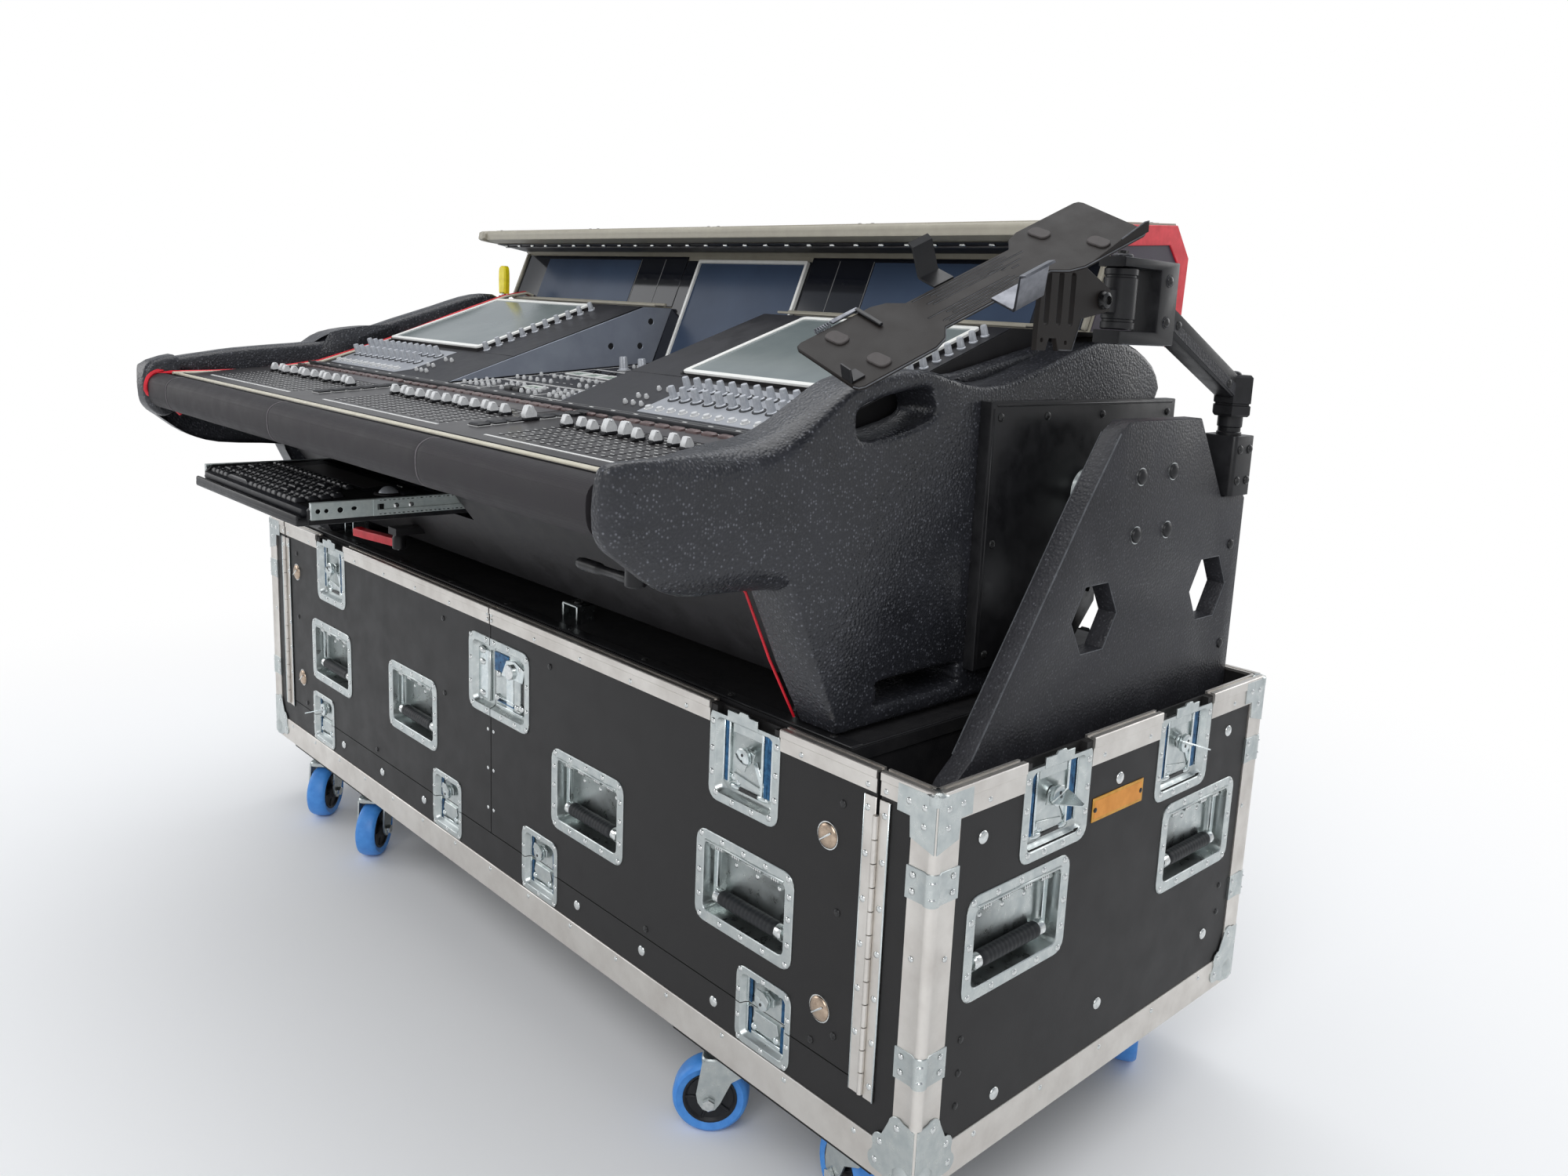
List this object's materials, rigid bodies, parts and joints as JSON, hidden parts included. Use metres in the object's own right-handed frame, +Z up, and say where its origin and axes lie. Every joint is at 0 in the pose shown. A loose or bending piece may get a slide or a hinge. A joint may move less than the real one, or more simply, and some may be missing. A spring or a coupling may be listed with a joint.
{
  "type": "mixer flip case",
  "caption": "Wheeled flight case with front doors, recessed handles and latches, and flip arms that carry a large mixing console with upright screens and a side tray.",
  "frame": {"origin": "on the floor, under the middle of the whole outline", "axes": "+Z up, +X along the case towards its right-hand end, the front doors face -Y"},
  "size_m": [1.8234, 0.967, 1.207],
  "materials": {
    "laminate": "black textured laminate on plywood",
    "black_plywood": "black painted plywood",
    "zinc": "bright zinc plate",
    "steel": "zinc plated steel",
    "black_metal": "black powder coat",
    "console_metal": "dark grey textured powder coat",
    "moulded_black": "black pebbled moulding",
    "rubber_grip": "black rubber over steel wire",
    "leatherette": "dark grey padded leatherette",
    "stone_plastic": "warm grey moulded cover",
    "screen": "dark glass touch screen",
    "tyre_blue": "blue elastic tyre on a black rim",
    "red_plastic": "red moulded lever",
    "yellow_plastic": "yellow moulded handle"
  },
  "bodies": {
    "case": {"case_shell": "laminate", "deck_box": "black_plywood", "caster_board_left": "black_plywood", "caster_board_right": "black_plywood", "arm_plate_left": "black_plywood", "arm_plate_right": "black_plywood", "pivot_hub_left": "steel", "pivot_hub_right": "steel", "post_socket": "black_metal"},
    "door_left": {"door_left": "laminate"},
    "door_right": {"door_right": "laminate"},
    "console": {"console_chassis": "console_metal", "bumper_left": "moulded_black", "bumper_right": "moulded_black", "armrest": "leatherette", "screen_hood": "stone_plastic", "touch_module_left": "screen", "touch_module_right": "screen", "pivot_bracket_left": "black_metal", "pivot_bracket_right": "black_metal", "drawer_runner_left": "zinc", "drawer_runner_right": "zinc"},
    "keyboard_drawer": {"keyboard_drawer": "moulded_black", "keyboard": "moulded_black"},
    "release_lever": {"release_lever": "moulded_black"},
    "locking_lever": {"locking_lever": "red_plastic"},
    "safety_plunger": {"safety_plunger": "yellow_plastic"},
    "support_post": {"support_post": "black_metal"},
    "tilt_knuckle": {"tilt_knuckle": "steel"},
    "tablet_tray": {"tablet_tray": "black_metal"},
    "front_bail_left_inner": {"front_bail_left_inner": "rubber_grip"},
    "front_bail_left_outer": {"front_bail_left_outer": "rubber_grip"},
    "end_bail_left_front": {"end_bail_left_front": "rubber_grip"},
    "end_bail_left_rear": {"end_bail_left_rear": "rubber_grip"},
    "top_latch_wing_left": {"top_latch_wing_left": "zinc"},
    "low_latch_wing_left_inner": {"low_latch_wing_left_inner": "zinc"},
    "low_latch_wing_left_outer": {"low_latch_wing_left_outer": "zinc"},
    "front_bail_right_inner": {"front_bail_right_inner": "rubber_grip"},
    "front_bail_right_outer": {"front_bail_right_outer": "rubber_grip"},
    "end_bail_right_front": {"end_bail_right_front": "rubber_grip"},
    "end_bail_right_rear": {"end_bail_right_rear": "rubber_grip"},
    "top_latch_wing_right": {"top_latch_wing_right": "zinc"},
    "low_latch_wing_right_inner": {"low_latch_wing_right_inner": "zinc"},
    "low_latch_wing_right_outer": {"low_latch_wing_right_outer": "zinc"},
    "caster_left_outer_front_fork": {"caster_left_outer_front_fork": "steel"},
    "caster_left_outer_front_wheel": {"caster_left_outer_front_wheel": "tyre_blue"},
    "caster_left_inner_front_fork": {"caster_left_inner_front_fork": "steel"},
    "caster_left_inner_front_wheel": {"caster_left_inner_front_wheel": "tyre_blue"},
    "caster_right_inner_front_fork": {"caster_right_inner_front_fork": "steel"},
    "caster_right_inner_front_wheel": {"caster_right_inner_front_wheel": "tyre_blue"},
    "caster_right_outer_front_fork": {"caster_right_outer_front_fork": "steel"},
    "caster_right_outer_front_wheel": {"caster_right_outer_front_wheel": "tyre_blue"},
    "caster_left_outer_rear_fork": {"caster_left_outer_rear_fork": "steel"},
    "caster_left_outer_rear_wheel": {"caster_left_outer_rear_wheel": "tyre_blue"},
    "caster_left_inner_rear_fork": {"caster_left_inner_rear_fork": "steel"},
    "caster_left_inner_rear_wheel": {"caster_left_inner_rear_wheel": "tyre_blue"},
    "caster_right_inner_rear_fork": {"caster_right_inner_rear_fork": "steel"},
    "caster_right_inner_rear_wheel": {"caster_right_inner_rear_wheel": "tyre_blue"},
    "caster_right_outer_rear_fork": {"caster_right_outer_rear_fork": "steel"},
    "caster_right_outer_rear_wheel": {"caster_right_outer_rear_wheel": "tyre_blue"}
  },
  "joints": [
    {"name": "door_left_hinge", "type": "hinge", "parent": "case", "child": "door_left", "pos_m": [-0.8317, -0.2085, 0.4], "axis": [0, 0, -1], "range_deg": [0, 165]},
    {"name": "door_right_hinge", "type": "hinge", "parent": "case", "child": "door_right", "pos_m": [0.8083, -0.2085, 0.4], "axis": [0, 0, 1], "range_deg": [0, 165]},
    {"name": "console_flip", "type": "hinge", "parent": "case", "child": "console", "pos_m": [-0.0117, 0.232, 0.8525], "axis": [-1, 0, 0], "range_deg": [0, 90]},
    {"name": "keyboard_drawer_slide", "type": "slide", "parent": "console", "child": "keyboard_drawer", "axis": [0, 1, 0], "range_m": [0, 0.19]},
    {"name": "release_lever_pivot", "type": "hinge", "parent": "console", "child": "release_lever", "pos_m": [0.5733, -0.3505, 0.78], "axis": [0, 0, 1], "range_deg": [0, 50]},
    {"name": "locking_lever_pivot", "type": "hinge", "parent": "console", "child": "locking_lever", "pos_m": [-0.3417, -0.1955, 0.64], "axis": [0, 0, 1], "range_deg": [0, 90]},
    {"name": "safety_plunger_pull", "type": "slide", "parent": "console", "child": "safety_plunger", "axis": [0, 0, 1], "range_m": [0, 0.02], "stiffness_N_per_m": 300, "springref_m": -0.005},
    {"name": "support_post_swivel", "type": "hinge", "parent": "case", "child": "support_post", "pos_m": [0.8223, 0.4315, 0.9], "axis": [0, 0, 1], "range_deg": [0, 150]},
    {"name": "knuckle_pan", "type": "hinge", "parent": "support_post", "child": "tilt_knuckle", "pos_m": [0.8283, 0.1275, 1.095], "axis": [0, 0, 1], "range_deg": [0, 90]},
    {"name": "tray_tilt", "type": "hinge", "parent": "tilt_knuckle", "child": "tablet_tray", "pos_m": [0.8283, 0.0735, 1.092], "axis": [1, 0, 0], "range_deg": [-20, 25]},
    {"name": "front_bail_left_inner_swing", "type": "hinge", "parent": "door_left", "child": "front_bail_left_inner", "pos_m": [-0.2797, -0.1925, 0.4066], "axis": [-1, 0, 0], "range_deg": [0, 90], "stiffness_Nm_per_rad": 0.6, "springref_deg": -22.92},
    {"name": "front_bail_left_outer_swing", "type": "hinge", "parent": "door_left", "child": "front_bail_left_outer", "pos_m": [-0.6192, -0.1925, 0.4066], "axis": [-1, 0, 0], "range_deg": [0, 90], "stiffness_Nm_per_rad": 0.6, "springref_deg": -22.92},
    {"name": "end_bail_left_front_swing", "type": "hinge", "parent": "case", "child": "end_bail_left_front", "pos_m": [-0.8997, -0.0545, 0.439], "axis": [0, 1, 0], "range_deg": [0, 90], "stiffness_Nm_per_rad": 0.6, "springref_deg": -22.92},
    {"name": "end_bail_left_rear_swing", "type": "hinge", "parent": "case", "child": "end_bail_left_rear", "pos_m": [-0.8997, 0.3335, 0.439], "axis": [0, 1, 0], "range_deg": [0, 90], "stiffness_Nm_per_rad": 0.6, "springref_deg": -22.92},
    {"name": "top_latch_wing_left_turn", "type": "hinge", "parent": "door_left", "child": "top_latch_wing_left", "pos_m": [-0.6124, -0.1995, 0.5447], "axis": [0, 1, 0], "range_deg": [0, 180]},
    {"name": "low_latch_wing_left_inner_turn", "type": "hinge", "parent": "door_left", "child": "low_latch_wing_left_inner", "pos_m": [-0.1567, -0.1995, 0.257], "axis": [0, 1, 0], "range_deg": [0, 180]},
    {"name": "low_latch_wing_left_outer_turn", "type": "hinge", "parent": "door_left", "child": "low_latch_wing_left_outer", "pos_m": [-0.6637, -0.1995, 0.257], "axis": [0, 1, 0], "range_deg": [0, 180]},
    {"name": "front_bail_right_inner_swing", "type": "hinge", "parent": "door_right", "child": "front_bail_right_inner", "pos_m": [0.2563, -0.1925, 0.4066], "axis": [-1, 0, 0], "range_deg": [0, 90], "stiffness_Nm_per_rad": 0.6, "springref_deg": -22.92},
    {"name": "front_bail_right_outer_swing", "type": "hinge", "parent": "door_right", "child": "front_bail_right_outer", "pos_m": [0.5958, -0.1925, 0.4066], "axis": [-1, 0, 0], "range_deg": [0, 90], "stiffness_Nm_per_rad": 0.6, "springref_deg": -22.92},
    {"name": "end_bail_right_front_swing", "type": "hinge", "parent": "case", "child": "end_bail_right_front", "pos_m": [0.8763, -0.0545, 0.439], "axis": [0, -1, 0], "range_deg": [0, 90], "stiffness_Nm_per_rad": 0.6, "springref_deg": -22.92},
    {"name": "end_bail_right_rear_swing", "type": "hinge", "parent": "case", "child": "end_bail_right_rear", "pos_m": [0.8763, 0.3335, 0.439], "axis": [0, -1, 0], "range_deg": [0, 90], "stiffness_Nm_per_rad": 0.6, "springref_deg": -22.92},
    {"name": "top_latch_wing_right_turn", "type": "hinge", "parent": "door_right", "child": "top_latch_wing_right", "pos_m": [0.589, -0.1995, 0.5447], "axis": [0, 1, 0], "range_deg": [0, 180]},
    {"name": "low_latch_wing_right_inner_turn", "type": "hinge", "parent": "door_right", "child": "low_latch_wing_right_inner", "pos_m": [0.1333, -0.1995, 0.257], "axis": [0, 1, 0], "range_deg": [0, 180]},
    {"name": "low_latch_wing_right_outer_turn", "type": "hinge", "parent": "door_right", "child": "low_latch_wing_right_outer", "pos_m": [0.6403, -0.1995, 0.257], "axis": [0, 1, 0], "range_deg": [0, 180]},
    {"name": "caster_left_outer_front_swivel", "type": "hinge", "parent": "case", "child": "caster_left_outer_front_fork", "pos_m": [-0.7897, -0.1425, 0.12], "axis": [0, 0, 1], "continuous": true},
    {"name": "caster_left_outer_front_roll", "type": "hinge", "parent": "caster_left_outer_front_fork", "child": "caster_left_outer_front_wheel", "pos_m": [-0.76283, -0.16937, 0.05], "axis": [0.7071, 0.7071, 0], "continuous": true},
    {"name": "caster_left_inner_front_swivel", "type": "hinge", "parent": "case", "child": "caster_left_inner_front_fork", "pos_m": [-0.5567, -0.1425, 0.12], "axis": [0, 0, 1], "continuous": true},
    {"name": "caster_left_inner_front_roll", "type": "hinge", "parent": "caster_left_inner_front_fork", "child": "caster_left_inner_front_wheel", "pos_m": [-0.52983, -0.16937, 0.05], "axis": [0.7071, 0.7071, 0], "continuous": true},
    {"name": "caster_right_inner_front_swivel", "type": "hinge", "parent": "case", "child": "caster_right_inner_front_fork", "pos_m": [0.5333, -0.1425, 0.12], "axis": [0, 0, 1], "continuous": true},
    {"name": "caster_right_inner_front_roll", "type": "hinge", "parent": "caster_right_inner_front_fork", "child": "caster_right_inner_front_wheel", "pos_m": [0.50643, -0.16937, 0.05], "axis": [0.7071, -0.7071, 0], "continuous": true},
    {"name": "caster_right_outer_front_swivel", "type": "hinge", "parent": "case", "child": "caster_right_outer_front_fork", "pos_m": [0.7663, -0.1425, 0.12], "axis": [0, 0, 1], "continuous": true},
    {"name": "caster_right_outer_front_roll", "type": "hinge", "parent": "caster_right_outer_front_fork", "child": "caster_right_outer_front_wheel", "pos_m": [0.72959, -0.13267, 0.05], "axis": [-0.2588, -0.9659, 0], "continuous": true},
    {"name": "caster_left_outer_rear_swivel", "type": "hinge", "parent": "case", "child": "caster_left_outer_rear_fork", "pos_m": [-0.7897, 0.4215, 0.12], "axis": [0, 0, 1], "continuous": true},
    {"name": "caster_left_outer_rear_roll", "type": "hinge", "parent": "caster_left_outer_rear_fork", "child": "caster_left_outer_rear_wheel", "pos_m": [-0.82541, 0.4085, 0.05], "axis": [0.342, -0.9397, 0], "continuous": true},
    {"name": "caster_left_inner_rear_swivel", "type": "hinge", "parent": "case", "child": "caster_left_inner_rear_fork", "pos_m": [-0.5567, 0.4215, 0.12], "axis": [0, 0, 1], "continuous": true},
    {"name": "caster_left_inner_rear_roll", "type": "hinge", "parent": "caster_left_inner_rear_fork", "child": "caster_left_inner_rear_wheel", "pos_m": [-0.52226, 0.40544, 0.05], "axis": [0.4226, 0.9063, 0], "continuous": true},
    {"name": "caster_right_inner_rear_swivel", "type": "hinge", "parent": "case", "child": "caster_right_inner_rear_fork", "pos_m": [0.5333, 0.4215, 0.12], "axis": [0, 0, 1], "continuous": true},
    {"name": "caster_right_inner_rear_roll", "type": "hinge", "parent": "caster_right_inner_rear_fork", "child": "caster_right_inner_rear_wheel", "pos_m": [0.49886, 0.40544, 0.05], "axis": [0.4226, -0.9063, 0], "continuous": true},
    {"name": "caster_right_outer_rear_swivel", "type": "hinge", "parent": "case", "child": "caster_right_outer_rear_fork", "pos_m": [0.7663, 0.4215, 0.12], "axis": [0, 0, 1], "continuous": true},
    {"name": "caster_right_outer_rear_roll", "type": "hinge", "parent": "caster_right_outer_rear_fork", "child": "caster_right_outer_rear_wheel", "pos_m": [0.7853, 0.38859, 0.05], "axis": [0.866, 0.5, 0], "continuous": true}
  ]
}
